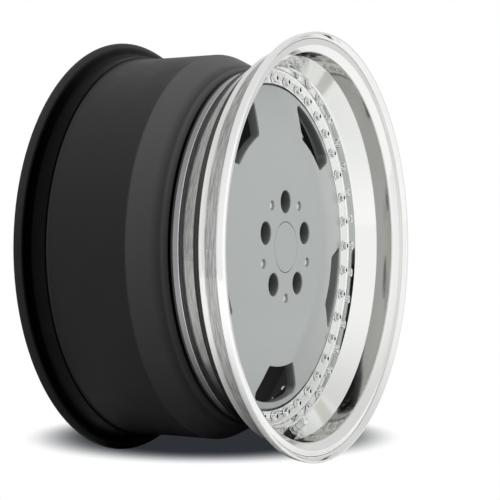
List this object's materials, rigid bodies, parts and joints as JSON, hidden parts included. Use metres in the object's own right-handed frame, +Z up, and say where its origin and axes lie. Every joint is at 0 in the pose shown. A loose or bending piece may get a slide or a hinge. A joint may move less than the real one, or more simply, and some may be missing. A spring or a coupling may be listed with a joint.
{
  "type": "split road wheel",
  "caption": "Split car wheel with a deep polished stepped lip, black barrel and silver windowed centre disc clamped together by a ring of small chrome bolts",
  "frame": {"origin": "the middle of the wheel: on its axis, half way across its width", "axes": "+Y along the wheel's axis towards the car (the outboard face looks to -Y), +Z up with the wheel standing, +X across"},
  "size_m": [0.522, 0.278, 0.522],
  "materials": {
    "outer_lip": "polished",
    "inner_barrel": "satin black",
    "centre_disc": "satin silver",
    "lip_joint_seal": "matt",
    "barrel_joint_seal": "matt",
    "assembly_bolts": "bright",
    "assembly_washers": "plated",
    "assembly_nuts": "plated",
    "centre_cap": "satin silver lacquer",
    "cap_clip_ring": "drawn wire",
    "valve_body": "plated",
    "valve_gasket": "matt",
    "valve_grommet": "matt",
    "valve_nut": "bright",
    "valve_core": "machined",
    "valve_cap": "bright"
  },
  "bodies": {
    "root": {"outer_lip": "outer_lip", "inner_barrel": "inner_barrel", "centre_disc": "centre_disc", "lip_joint_seal": "lip_joint_seal", "barrel_joint_seal": "barrel_joint_seal", "assembly_bolts": "assembly_bolts", "assembly_washers": "assembly_washers", "assembly_nuts": "assembly_nuts", "centre_cap": "centre_cap", "cap_clip_ring": "cap_clip_ring", "valve_body": "valve_body", "valve_gasket": "valve_gasket", "valve_grommet": "valve_grommet", "valve_nut": "valve_nut", "valve_core": "valve_core", "valve_cap": "valve_cap"}
  },
  "joints": []
}
